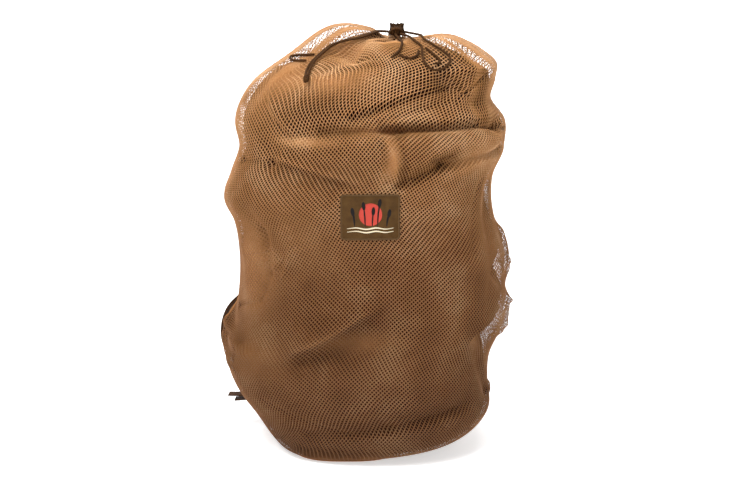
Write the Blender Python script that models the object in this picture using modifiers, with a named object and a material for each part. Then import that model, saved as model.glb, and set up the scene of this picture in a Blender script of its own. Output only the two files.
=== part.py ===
"""Net sack for decoys, standing full on its base with the mouth drawn shut.

Two net panels meet at side seams and run from a flat net base up over the shoulders into a gathered
hem. A drawcord is tied in a bow in front of the hem, a brown patch is sewn to the front, and two
webbing shoulder straps are sewn to the back. The net's own holes are too fine for this model, so the
panels are plain walls as thick as the net.

Tables are in millimetres and degrees, and MM turns them to metres. +Z is up, the front faces -Y and
+X is the viewer's right. The origin is on the floor under the middle of the base. A place on the
sack's surface is given by turn, the angle round from the front with the right at +90, and by up, the
distance up the cloth from the seam of the base.
"""
import math

import bmesh
import bpy
import numpy as np

MM = 0.001

# Walls and gaps
NET_WALL = 1.5
GAP = 0.3
EDGE_LIFT = 0.3  # the panels' lowest edge stands this far above the floor

# The panels' grid, in faces
FRONT_ACROSS, BACK_ACROSS = 40, 20
LOW_ROWS, TOP_ROWS = 25, 6
# Each panel is one cloth. It is made in three levels, from one row of its grid to another, so that
# each level's collision hulls can follow its curve.
NET_LEVELS = {"low": (0, 9), "middle": (9, 18), "high": (18, LOW_ROWS + TOP_ROWS)}
LEVEL_GAP = 0.9
HALF_SPACE = 1200  # the blocks that part the front from the back

# The middle of the mouth, and the neck that the panels end in
MOUTH_X = 47
NECK_RADIUS = 15.5
NECK_TOP = 748

# Level sections of the full sack, from the seam of the base to the neck. left and right are x of the
# sides, front and back are depths from the plane of the side seams, and square is the section's
# fullness: 2 is an ellipse, and more is squarer.
SECTION_COLUMNS = ("z", "left", "right", "front", "back", "square")
SECTIONS = (
    (EDGE_LIFT, -147, 58, 151, 126, 3.0),
    (8, -167, 96, 166, 141, 2.9),
    (24, -186, 170, 185, 160, 2.7),
    (66, -216, 220, 203, 180, 2.5),
    (112, -248, 218, 211, 188, 2.5),
    (172, -266, 221, 211, 192, 2.5),
    (232, -249, 246, 206, 192, 2.4),
    (297, -240, 248, 200, 190, 2.4),
    (362, -239, 244, 196, 187, 2.4),
    (422, -249, 225, 194, 185, 2.4),
    (457, -265, 220, 194, 184, 2.4),
    (502, -252, 222, 193, 182, 2.4),
    (552, -236, 242, 190, 178, 2.4),
    (597, -243, 242, 182, 168, 2.35),
    (637, -230, 216, 168, 152, 2.3),
    (672, -204, 224, 148, 130, 2.25),
    (701, -163, 224, 124, 106, 2.2),
    (719, -125, 196, 100, 86, 2.15),
    (730, -85, 158, 78, 68, 2.1),
    (736, -45, 124, 57, 52, 2.05),
    (739, -8, 98, 39, 38, 2.0),
    (740.5, 17, 77, 26, 26, 2.0),
    (743, 30, 64, 17.5, 17.5, 2.0),
    (NECK_TOP, MOUTH_X - NECK_RADIUS, MOUTH_X + NECK_RADIUS, NECK_RADIUS, NECK_RADIUS, 2.0),
)

# Folds and dents, each along a straight line on the cloth. rise is outward, and over and under are
# the widths to the left and to the right of the line, seen from its start.
FOLD_COLUMNS = ("turn_0", "up_0", "turn_1", "up_1", "rise", "over", "under")
FOLDS = {
    "belly": (4, 170, 10, 215, 11, 95, 90),
    "pillow_lip": (-25, 280, -3, 342, 20, 62, 15),
    "under_lip": (-16, 262, 12, 318, -7, 18, 28),
    "bottom_crease_left": (-30, 108, 8, 134, -7, 17, 15),
    "bottom_crease_right": (8, 134, 52, 158, -7, 17, 15),
    "brown_band": (-38, 654, 12, 658, -12, 17, 14),
    "dark_band": (10, 664, 72, 655, -18, 16, 14),
    "dark_band_end": (72, 655, 84, 622, -7, 15, 13),
    "dome_edge": (-6, 684, 44, 718, -7, 14, 12),
    "dome_pillow": (-10, 742, 22, 750, 9, 42, 36),
    "dent_right": (42, 746, 48, 732, -14, 18, 18),
    "dent_left": (-46, 826, -34, 812, -15, 22, 18),
    "round_bulge": (-20, 846, 4, 850, 9, 30, 30),
    "layer_step": (-46, 750, -8, 764, 5, 12, 26),
    "top_left_bulge": (-104, 858, -80, 870, 32, 48, 46),
    "top_right_bulge": (52, 862, 92, 856, 15, 38, 44),
    "shoulder_cross": (38, 766, 62, 700, -6, 12, 12),
    "shoulder_ridge": (50, 774, 74, 767, 6, 12, 12),
    "dent_middle_right": (36, 604, 42, 612, -11, 15, 16),
    "v_left": (-52, 628, 0, 566, -7, 16, 20),
    "v_right": (50, 618, 22, 574, -7, 16, 20),
    "front_ridge": (9, 648, 13, 590, 5, 14, 14),
    "left_crease": (-56, 510, -42, 412, -7, 14, 15),
    "left_pad": (-64, 432, -60, 330, 8, 32, 26),
    "short_fold": (-35, 450, -43, 408, 4, 10, 10),
    "stack_high": (-88, 272, -56, 246, 8, 11, 11),
    "stack_low": (-88, 238, -62, 212, 6, 11, 11),
    "right_hollow_high": (71, 545, 60, 350, -6, 15, 15),
    "right_hollow_low": (50, 292, 72, 160, -6, 15, 15),
    "flap_high": (89, 440, 87, 378, 9, 15, 18),
    "flap_low": (88, 318, 85, 284, 9, 14, 16),
    "back_valley": (181, 230, 178, 540, -12, 45, 45),
    "back_fold_high": (140, 560, 205, 610, -7, 20, 26),
    "back_fold_middle": (150, 400, 192, 366, 6, 20, 26),
    "back_fold_low": (168, 170, 214, 196, -6, 22, 26),
    "back_shoulder": (120, 700, 160, 745, -8, 20, 24),
}

# Gathers that run out from the neck, as waves round the mouth
GATHER_COUNT = 12
GATHER_DEPTH = 3.0
GATHER_REACH = 100  # how far down the cloth from the neck they fade out
CALM = 26  # folds fade to nothing over this distance at the base's seam and at the neck

# The patch, a flat sewn piece that holds the net smooth round it
PATCH_WIDTH, PATCH_HEIGHT, PATCH_THICK = 102, 80, 1.2
PATCH_UP = 512  # the cloth distance of its middle
PATCH_X = 0
PATCH_CALM = 22  # the net is smooth this far round it
PATCH_COLUMNS, PATCH_ROWS = 7, 5

# The gathered hem that stands on the neck: rows of z, radius and how far the pleats stand
# out, up its outer face and then down its hole
HEM_TOP = 766
HEM_HOLE = 7.0
HEM_OUTER = ((NECK_TOP + GAP, NECK_RADIUS, 0.4), (761, 13.5, 0.8), (765.5, 13.4, 1.0),
             (HEM_TOP, 14.2, 2.0))
HEM_INNER = ((HEM_TOP - 2, 10.5, 1.0), (761, HEM_HOLE, 0.2), (NECK_TOP + GAP, HEM_HOLE, 0.2))
HEM_SIDES, HEM_PLEATS = 36, 9
HEM_RIM = 763  # above this the rim rises and falls, in two peaks
HEM_PEAK, HEM_PEAK_AT = 1.6, 0.6  # by how much, and the peaks' start in radians


def columns_of(table, names):
    """The table's columns as arrays, by name."""
    rows = np.array(list(table.values()) if isinstance(table, dict) else table, float)
    return dict(zip(names, rows.T))


SECTION = columns_of(SECTIONS, SECTION_COLUMNS)


def cloth_distance(section):
    """How far up the cloth each section lies: the mean of the distances along the four sides."""
    sides = (section["left"], section["right"], section["front"], section["back"])
    steps = [np.hypot(np.diff(side), np.diff(section["z"])) for side in sides]
    return np.concatenate([[0], np.cumsum(np.mean(steps, axis=0))])


SECTION_UP = cloth_distance(SECTION)
TOP = SECTION_UP[-1]


def between_sections(name, up):
    """A column at any place up the cloth, on a smooth cubic through the sections."""
    value = SECTION[name]
    slope = np.gradient(value, SECTION_UP)
    i = np.clip(np.searchsorted(SECTION_UP, up) - 1, 0, len(value) - 2)
    step = SECTION_UP[i + 1] - SECTION_UP[i]
    t = (up - SECTION_UP[i]) / step
    return (
        (1 + 2 * t) * (1 - t) ** 2 * value[i]
        + t * (1 - t) ** 2 * step * slope[i]
        + t**2 * (3 - 2 * t) * value[i + 1]
        + t**2 * (t - 1) * step * slope[i + 1]
    )


def full_form(turn, up):
    """Points of the sack without its folds, in millimetres: level rounded sections, one above another."""
    angle = np.radians(turn)
    across, ahead = np.sin(angle), np.cos(angle)
    left, right = between_sections("left", up), between_sections("right", up)
    depth = np.where(ahead > 0, between_sections("front", up), between_sections("back", up))
    power = between_sections("square", up)
    half = (right - left) / 2
    reach = (np.abs(across / half) ** power + np.abs(ahead / depth) ** power) ** (-1 / power)
    return np.stack(
        [(left + right) / 2 + reach * across, -reach * ahead, between_sections("z", up)], axis=-1
    )


def outward(turn, up):
    """Unit normals of the form without folds, from the directions round and up the cloth."""
    small_turn, small_up = 0.2, 0.5
    low, high = np.maximum(up - small_up, 0), np.minimum(up + small_up, TOP)
    around = full_form(turn + small_turn, up) - full_form(turn - small_turn, up)
    along = full_form(turn, high) - full_form(turn, low)
    normal = np.cross(around, along)
    return normal / np.linalg.norm(normal, axis=-1, keepdims=True)


def eased(share):
    """0 to 1 with a level start and end."""
    share = np.clip(share, 0, 1)
    return share * share * (3 - 2 * share)


def turn_at(x, up):
    """The turn of a place on the front, from its x."""
    middle = (between_sections("left", up) + between_sections("right", up)) / 2
    return np.degrees(np.arctan2(x - middle, between_sections("front", up)))


def on_patch(turn, up):
    """1 under the patch, falling to 0 a little way round it."""
    middle = turn_at(PATCH_X, PATCH_UP)
    half_turn = turn_at(PATCH_X + PATCH_WIDTH / 2, PATCH_UP) - middle
    calm_turn = half_turn * PATCH_CALM / (PATCH_WIDTH / 2)
    sideways = 1 - (np.abs(turn - middle) - half_turn) / calm_turn
    upright = 1 - (np.abs(up - PATCH_UP) - PATCH_HEIGHT / 2) / PATCH_CALM
    return eased(sideways) * eased(upright)


def fold_height(turn, up):
    """How far the folds, dents and gathers stand out at a place, in millimetres."""
    total = np.zeros(np.broadcast(turn, up).shape)
    for row in FOLDS.values():
        fold = dict(zip(FOLD_COLUMNS, row))
        middle = (fold["up_0"] + fold["up_1"]) / 2
        ends = [between_sections(side, middle) for side in ("left", "right", "front", "back")]
        degree = (ends[1] - ends[0] + ends[2] + ends[3]) / 4 * math.radians(1)
        away = (turn - fold["turn_0"] + 180) % 360 - 180
        x, y = away * degree, up - fold["up_0"]
        run_x, run_y = (fold["turn_1"] - fold["turn_0"]) * degree, fold["up_1"] - fold["up_0"]
        length = math.hypot(run_x, run_y)
        run_x, run_y = run_x / length, run_y / length
        past = x * run_x + y * run_y
        past = past - np.clip(past, 0, length)
        side = y * run_x - x * run_y
        width = np.where(side > 0, fold["over"], fold["under"])
        end = (fold["over"] + fold["under"]) / 2
        total = total + fold["rise"] * np.exp(-((side / width) ** 2) - (past / end) ** 2)
    total = total * eased(up / CALM) * eased((TOP - up) / CALM) * (1 - on_patch(turn, up))
    near = eased(1 - (TOP - up) / GATHER_REACH)
    wave = np.cos(np.radians(turn) * GATHER_COUNT)
    return total + GATHER_DEPTH * wave * near * eased((TOP - up) / CALM)


def cloth(turn, up, lift=0.0):
    """Points on the sack's outer face, lift millimetres above it, in millimetres."""
    turn, up = np.broadcast_arrays(np.asarray(turn, float), np.asarray(up, float))
    high = (fold_height(turn, up) + lift)[..., None]
    return full_form(turn, up) + outward(turn, up) * high


# Solids made from the surface

# The net wall's grid: the turns of its columns and the cloth distances of its rows
FINE_TOP = 84  # the rows are closer over this last stretch below the mouth
FRONT_TURNS = np.linspace(-90, 90, FRONT_ACROSS + 1)
BACK_TURNS = np.linspace(90, 270, BACK_ACROSS + 1)[1:-1]
TURNS = np.concatenate([FRONT_TURNS, BACK_TURNS])
WALL_UPS = np.concatenate(
    [np.linspace(0, TOP - FINE_TOP, LOW_ROWS + 1), np.linspace(TOP - FINE_TOP, TOP, TOP_ROWS + 1)[1:]]
)

# The base
BASE_INSET = 1.3

# The drawcord's stretches, as turn, up and what is added to the lift of its middle
CORD = 4.2
CORD_LIFT = CORD / 2 + 2.3
CORD_STEP = 12
TAIL_SPREAD = 2.4  # half of the distance between the two tails that run side by side
TAIL_ROUTE = (
    (-50, 899, 4.0), (-46.5, 884, 2.0), (-46, 857, 1.0), (-54, 841, 2.0), (-57.5, 826, 2.8),
    (-57.5, 808, 1.2), (-56, 787, 0.4), (-51.5, 766, 0.4), (-47, 754, 0.8),
)
CORD_ROUTES = {
    "drawcord_bow_loop": (
        (54, 892, 0), (44, 866, 0), (41, 851, 0), (43.8, 832, 0), (47, 815, 0), (48, 798, 0), (44.5, 785, 0),
        (40, 776, 0), (34, 771.5, 0), (29.5, 776, 0), (27.5, 790, 0), (28.5, 806, 0), (32.5, 832, 0),
        (30, 850, 0), (29, 868, 0),
    ),
    "drawcord_bow_inner": (
        (36, 829, -1.9), (38.3, 812, -1.9), (40, 797, -1.9), (39, 788.5, -1.9), (35.5, 788, -1.9),
    ),
    "drawcord_drop": (
        (12, 880, -0.9), (13.5, 860, -0.9), (13, 842, -0.9), (8.5, 822, -0.9), (0.5, 803, -0.9),
    ),
    "drawcord_link": (
        (8, 812, -1.5), (12.3, 805.5, -1.5), (16.5, 801.5, -1.5), (20.8, 802.5, -1.5), (24.8, 810, -1.5),
        (28.3, 823, -1.7),
    ),
    "drawcord_small_loop": (
        (-62, 804, -1.2), (-67.5, 800.5, -1.2), (-72.5, 797, -1.2), (-76.5, 791.5, -1.2),
        (-73, 786.5, -1.2), (-67, 787, -1.2), (-61.5, 789, -1.2),
    ),
}
# Where stretches start and end at the bow's knot, as x, y and z
KNOT_STARTS = {
    "drawcord_tails": (33, -21.5, 756),
    "drawcord_bow_loop": (60.6, -20.5, 755.5),
    "drawcord_drop": (43.6, -28.7, 752.6),
}
KNOT_ENDS = {"drawcord_bow_loop": (53.3, -28.4, 753.1)}

# The knots, as lumps of wound cord
BOW_AT, BOW_HALF = (47, -21.2, 757), (13, 7.5, 8.5)
END_HALF = (5.2, 4.6, 11)
KNOT_SIDES, KNOT_RINGS = 12, 8
KNOT_GROOVES, KNOT_GROOVE_DEPTH = 3, 0.09
KNOT_GROOVE_LEAN = 0.3

# The shoulder straps: turn, up and lift of the inner face, from the top sewn end to the lower one
STRAP_WIDTH, STRAP_THICK = 38, 2.5
STRAP_STEP = 32
SEWN_LIFT = 3.6
STRAP_EVENING = 3  # how many times the directions across a strap are evened out along it
STRAPS = {
    "strap_left": (
        (-163, 655, SEWN_LIFT), (-162, 625, 5), (-159, 560, 8), (-154, 480, 12), (-145, 400, 20),
        (-133, 330, 26), (-122, 278, 32), (-116, 240, 39), (-115, 205, 37), (-120, 168, 27),
        (-129, 136, 15), (-136, 110, SEWN_LIFT), (-137, 90, SEWN_LIFT),
    ),
    "strap_right": (
        (163, 655, SEWN_LIFT), (162, 625, 5), (159, 560, 8), (154, 480, 12),
        (149, 400, 18), (145, 320, 22), (143, 250, 20), (142, 190, 12),
        (141, 145, 5), (140, 118, SEWN_LIFT), (140, 92, SEWN_LIFT),
    ),
}

# Free ends of webbing that stand out level from the cloth behind the left side seam
TAIL_WIDTH, TAIL_THICK = 25, 2.0
STRAP_TAILS = {
    "strap_tail_upper": ((-97, 116, 1.6), (-97, 124, 14), (-97, 132, 28), (-97, 140, 42)),
    "strap_tail_lower": ((-97, 107, 1.6), (-97, 114, 12), (-97, 121, 25), (-97, 128, 38)),
}


def metres(points):
    """Millimetre points as tuples in metres."""
    return [tuple(float(value) for value in point) for point in np.asarray(points) * MM]


def make_material(name, colour, roughness, metallic=0.0):
    """A plain surface."""
    material = bpy.data.materials.new(name)
    material.use_nodes = True
    shader = material.node_tree.nodes["Principled BSDF"]
    shader.inputs["Base Color"].default_value = (*colour, 1)
    shader.inputs["Roughness"].default_value = roughness
    shader.inputs["Metallic"].default_value = metallic
    material.diffuse_color = (*colour, 1)
    return material


def add_object(name, mesh, material, where):
    """An object in a collection, with one material."""
    item = bpy.data.objects.new(name, mesh)
    if material:
        mesh.materials.append(material)
    where.objects.link(item)
    return item


def grid_mesh(name, points, ring=False, loop=False):
    """A sheet through a grid of points in millimetres, closed across where ring, along where loop."""
    rows, across = points.shape[:2]
    index = np.arange(rows * across).reshape(rows, across)
    if ring:
        index = np.concatenate([index, index[:, :1]], axis=1)
    if loop:
        index = np.concatenate([index, index[:1]], axis=0)
    faces = np.stack([index[:-1, :-1], index[:-1, 1:], index[1:, 1:], index[1:, :-1]], axis=-1)
    mesh = bpy.data.meshes.new(name)
    mesh.from_pydata(metres(points.reshape(-1, 3)), [], faces.reshape(-1, 4).tolist())
    mesh.shade_smooth()
    return mesh


def thicken(item, thickness, offset):
    """A wall from a sheet, with offset -1 inside it, 0 round it and 1 outside it."""
    wall = item.modifiers.new("wall", "SOLIDIFY")
    wall.thickness = thickness * MM
    wall.offset = offset


def smooth_path(points, step):
    """Points about step millimetres apart on one smooth curve through the given points."""
    points = np.asarray(points, float)
    steps = np.linalg.norm(np.diff(points, axis=0), axis=1)
    along = np.concatenate([[0], np.cumsum(steps)])
    slope = np.gradient(points, along, axis=0)
    places = np.linspace(0, along[-1], max(2, round(along[-1] / step) + 1))
    i = np.clip(np.searchsorted(along, places) - 1, 0, len(steps) - 1)
    span = steps[i][:, None]
    t = ((places - along[i]) / steps[i])[:, None]
    return (
        (1 + 2 * t) * (1 - t) ** 2 * points[i]
        + t * (1 - t) ** 2 * span * slope[i]
        + t**2 * (3 - 2 * t) * points[i + 1]
        + t**2 * (t - 1) * span * slope[i + 1]
    )


def on_cloth(route, lift=0.0):
    """A route's places on the cloth as points in millimetres."""
    rows = np.array(route, float)
    own = rows[:, 2] if rows.shape[1] > 2 else 0.0
    return cloth(rows[:, 0], rows[:, 1], own + lift)


def build_net(parts, cutters, net):
    """The two net panels: open walls round the sack, one for each level, cut at the side seams."""
    for level, (first, last) in NET_LEVELS.items():
        ups = WALL_UPS[first:last + 1].copy()
        ups[0] += LEVEL_GAP / 2 * (first > 0)
        ups[-1] -= LEVEL_GAP / 2 * (ups[-1] < TOP)
        points = cloth(*np.meshgrid(TURNS, ups))
        for panel_side, direction in (("front", -1), ("back", 1)):
            name = f"net_{panel_side}_{level}"
            panel = add_object(name, grid_mesh(name, points, ring=True), net, parts)
            thicken(panel, NET_WALL, -1)
            cut = panel.modifiers.new("side_seams", "BOOLEAN")
            cut.operation = "INTERSECT"
            cut.object = half_space(name + "_half", direction, cutters)


def half_space(name, side, cutters):
    """A block that holds everything on one side of the plane of the side seams, less half the gap."""
    body = bmesh.new()
    bmesh.ops.create_cube(body, size=HALF_SPACE * MM)
    mesh = bpy.data.meshes.new(name)
    body.to_mesh(mesh)
    body.free()
    block = add_object(name, mesh, None, cutters)
    block.location = (0, side * (HALF_SPACE + GAP) / 2 * MM, HALF_SPACE / 3 * MM)
    block.hide_render = True
    block.display_type = "WIRE"
    return block


def build_base(parts, net):
    """The flat base, just inside the panels' lower edge."""
    edge = cloth(TURNS, 0.0)[:, :2]
    middle = edge.mean(axis=0)
    away = edge - middle
    edge = middle + away * (1 - BASE_INSET / np.linalg.norm(away, axis=1))[:, None]
    outline = bpy.data.curves.new("net_base", "CURVE")
    outline.dimensions = "2D"
    outline.fill_mode = "BOTH"
    outline.extrude = NET_WALL / 2 * MM
    spline = outline.splines.new("POLY")
    spline.points.add(len(edge) - 1)
    spline.points.foreach_set("co", np.c_[edge * MM, np.zeros(len(edge)), np.ones(len(edge))].ravel())
    spline.use_cyclic_u = True
    base = add_object("net_base", outline, net, parts)
    base.location.z = NET_WALL / 2 * MM


def build_hem(parts, hem):
    """The gathered hem: a ring of pleated cloth round the mouth's hole, drawn in at the cord."""
    angle = np.linspace(0, 2 * math.pi, HEM_SIDES, endpoint=False)
    rows = []
    for z, radius, wave in HEM_OUTER + HEM_INNER:
        reach = radius + wave * np.cos(HEM_PLEATS * angle)
        peak = HEM_PEAK * np.sin(2 * angle + HEM_PEAK_AT) * (z > HEM_RIM)
        rows.append(np.stack([MOUTH_X + reach * np.cos(angle), reach * np.sin(angle), z + peak], axis=-1))
    add_object("gathered_hem", grid_mesh("gathered_hem", np.array(rows), ring=True, loop=True), hem, parts)


def build_patch(parts, brown):
    """The sewn patch, bent to the front of the sack."""
    x = np.linspace(-PATCH_WIDTH / 2, PATCH_WIDTH / 2, PATCH_COLUMNS) + PATCH_X
    up = np.linspace(-PATCH_HEIGHT / 2, PATCH_HEIGHT / 2, PATCH_ROWS) + PATCH_UP
    x, up = np.meshgrid(x, up)
    patch = add_object("patch", grid_mesh("patch", cloth(turn_at(x, up), up, 2 * GAP)), brown, parts)
    thicken(patch, PATCH_THICK, 1)


def add_tube(name, points, parts, material):
    """A round cord along a path of straight steps, with closed ends."""
    curve = bpy.data.curves.new(name, "CURVE")
    curve.dimensions = "3D"
    curve.bevel_depth = CORD / 2 * MM
    curve.bevel_resolution = 2
    curve.use_fill_caps = True
    spline = curve.splines.new("POLY")
    spline.points.add(len(points) - 1)
    spline.points.foreach_set("co", np.c_[points * MM, np.ones(len(points))].ravel())
    add_object(name, curve, material, parts)


def beside(points, distance):
    """A path moved level to its left by a distance."""
    ahead = np.gradient(points, axis=0)
    left = np.cross((0, 0, 1), ahead)
    return points + left / np.linalg.norm(left, axis=1, keepdims=True) * distance


def cord_path(name, route):
    """A stretch's middle line: out of the bow's knot where it starts there, and along the cloth."""
    ends = [[table[name]] if name in table else [] for table in (KNOT_STARTS, KNOT_ENDS)]
    return smooth_path([*ends[0], *on_cloth(route, CORD_LIFT), *ends[1]], CORD_STEP)


def build_cords(parts, dark):
    """The drawcord's free stretches, on the cloth."""
    tails = cord_path("drawcord_tails", TAIL_ROUTE)
    add_tube("drawcord_tail_front", beside(tails, TAIL_SPREAD), parts, dark)
    add_tube("drawcord_tail_back", beside(tails, -TAIL_SPREAD), parts, dark)
    for name, route in CORD_ROUTES.items():
        add_tube(name, cord_path(name, route), parts, dark)


def add_knot(name, centre, half, axes, parts, material):
    """A rounded lump with wound grooves, as wide along each of its axes as half says."""
    body = bmesh.new()
    bmesh.ops.create_uvsphere(body, u_segments=KNOT_SIDES, v_segments=KNOT_RINGS, radius=1)
    for vertex in body.verts:
        x, y, z = vertex.co
        wave = math.cos(2 * math.pi * KNOT_GROOVES * (z + KNOT_GROOVE_LEAN * x))
        groove = 1 - KNOT_GROOVE_DEPTH * (1 + wave)
        vertex.co = (x * groove, y * groove, z)
    mesh = bpy.data.meshes.new(name)
    body.to_mesh(mesh)
    body.free()
    points = np.array([vertex.co for vertex in mesh.vertices]) * half
    points = points @ np.array(axes) + centre
    mesh.vertices.foreach_set("co", (points * MM).ravel())
    mesh.shade_smooth()
    add_object(name, mesh, material, parts)


def build_knots(parts, dark):
    """The bow's knot in front of the hem, and the knot that joins the two tails."""
    level = ((0, 1, 0), (0, 0, 1), (1, 0, 0))
    add_knot("bow_knot", BOW_AT, np.array(BOW_HALF)[[1, 2, 0]], level, parts, dark)
    tails = cord_path("drawcord_tails", TAIL_ROUTE)
    ahead = tails[-1] - tails[-2]
    ahead /= np.linalg.norm(ahead)
    across = np.cross(ahead, (0, 0, 1))
    across /= np.linalg.norm(across)
    axes = (across, np.cross(ahead, across), ahead)
    centre = tails[-1] + ahead * (END_HALF[2] + GAP)
    add_knot("end_knot", centre, END_HALF, axes, parts, dark)


def add_band(name, route, width, thickness, parts, material, standing=False):
    """Flat webbing along a route, lying as the cloth under it does or standing out level from it."""
    rows = np.array(route, float)
    path = smooth_path(on_cloth(route), STRAP_STEP)
    normal = outward(rows[:, 0], rows[:, 1])
    own = on_cloth(route)
    nearest = np.argmin(np.linalg.norm(path[:, None] - own[None], axis=2), axis=1)
    ahead = np.gradient(path, axis=0)
    across = np.cross((0, 0, 1), normal[nearest]) if standing else np.cross(ahead, normal[nearest])
    for _ in range(STRAP_EVENING):
        across[1:-1] = (across[:-2] + across[1:-1] + across[2:]) / 3
    across /= np.linalg.norm(across, axis=1, keepdims=True)
    offsets = np.array((0.5, 0, -0.5))[None, :, None] * width
    band = add_object(name, grid_mesh(name, path[:, None] + across[:, None] * offsets), material, parts)
    thicken(band, thickness, 1)


def build_straps(parts, webbing):
    """The shoulder straps and the free ends of their webbing."""
    for name, route in STRAPS.items():
        add_band(name, route, STRAP_WIDTH, STRAP_THICK, parts, webbing)
    for name, route in STRAP_TAILS.items():
        add_band(name, route, TAIL_WIDTH, TAIL_THICK, parts, webbing, standing=True)


def main():
    for item in list(bpy.data.objects):
        bpy.data.objects.remove(item, do_unlink=True)
    parts, cutters = bpy.data.collections.new("decoy_sack"), bpy.data.collections.new("cutters")
    for group in (parts, cutters):
        bpy.context.scene.collection.children.link(group)
    net = make_material("brown_net", (0.27, 0.13, 0.05), 0.75)
    hem = make_material("gathered_hem_cloth", (0.16, 0.09, 0.045), 0.8)
    brown = make_material("patch_cloth", (0.1, 0.05, 0.02), 0.7)
    dark = make_material("drawcord_braid", (0.05, 0.032, 0.02), 0.6)
    webbing = make_material("strap_webbing", (0.06, 0.032, 0.018), 0.65)
    build_net(parts, cutters, net)
    build_base(parts, net)
    build_hem(parts, hem)
    build_patch(parts, brown)
    build_cords(parts, dark)
    build_knots(parts, dark)
    build_straps(parts, webbing)


main()
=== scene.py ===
import math

import bpy
import numpy as np
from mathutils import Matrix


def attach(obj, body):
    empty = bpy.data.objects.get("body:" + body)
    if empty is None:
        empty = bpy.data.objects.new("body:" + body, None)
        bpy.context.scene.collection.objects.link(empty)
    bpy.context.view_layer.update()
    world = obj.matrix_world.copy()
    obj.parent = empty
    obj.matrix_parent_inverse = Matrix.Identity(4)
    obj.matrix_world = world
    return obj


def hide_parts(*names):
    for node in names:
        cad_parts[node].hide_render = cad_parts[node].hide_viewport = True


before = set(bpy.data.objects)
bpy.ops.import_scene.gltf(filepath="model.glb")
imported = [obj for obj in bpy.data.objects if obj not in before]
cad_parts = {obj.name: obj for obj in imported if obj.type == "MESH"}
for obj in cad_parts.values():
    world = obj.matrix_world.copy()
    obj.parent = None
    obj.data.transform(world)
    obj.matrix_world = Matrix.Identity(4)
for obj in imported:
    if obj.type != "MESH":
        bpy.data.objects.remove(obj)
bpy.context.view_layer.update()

# A net sack for decoys, standing full with its mouth drawn shut. Lengths are in millimetres and angles
# in degrees, and MM turns lengths to metres. +Z is up, the front faces -Y and +X is the viewer's right.
# A place on the cloth is given by turn, the angle round from the front, and by up, the distance up the
# cloth from the base's seam, as in the solids.
MM = 0.001

# Camera: the photo's view, 13 degrees above level
CAMERA_ABOVE = 13
CAMERA_AT = (-9.4, -2899.3, 1042.1)
LENS, SENSOR = 80, 36

# The form, with the same tables as the solids
MOUTH_X = 47
NECK_RADIUS = 15.5
NECK_TOP = 748
SECTION_COLUMNS = ("z", "left", "right", "front", "back", "square")
SECTIONS = (
    (0.3, -147, 58, 151, 126, 3.0),
    (8, -167, 96, 166, 141, 2.9),
    (24, -186, 170, 185, 160, 2.7),
    (66, -216, 220, 203, 180, 2.5),
    (112, -248, 218, 211, 188, 2.5),
    (172, -266, 221, 211, 192, 2.5),
    (232, -249, 246, 206, 192, 2.4),
    (297, -240, 248, 200, 190, 2.4),
    (362, -239, 244, 196, 187, 2.4),
    (422, -249, 225, 194, 185, 2.4),
    (457, -265, 220, 194, 184, 2.4),
    (502, -252, 222, 193, 182, 2.4),
    (552, -236, 242, 190, 178, 2.4),
    (597, -243, 242, 182, 168, 2.35),
    (637, -230, 216, 168, 152, 2.3),
    (672, -204, 224, 148, 130, 2.25),
    (701, -163, 224, 124, 106, 2.2),
    (719, -125, 196, 100, 86, 2.15),
    (730, -85, 158, 78, 68, 2.1),
    (736, -45, 124, 57, 52, 2.05),
    (739, -8, 98, 39, 38, 2.0),
    (740.5, 17, 77, 26, 26, 2.0),
    (743, 30, 64, 17.5, 17.5, 2.0),
    (NECK_TOP, MOUTH_X - NECK_RADIUS, MOUTH_X + NECK_RADIUS, NECK_RADIUS, NECK_RADIUS, 2.0),
)
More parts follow.
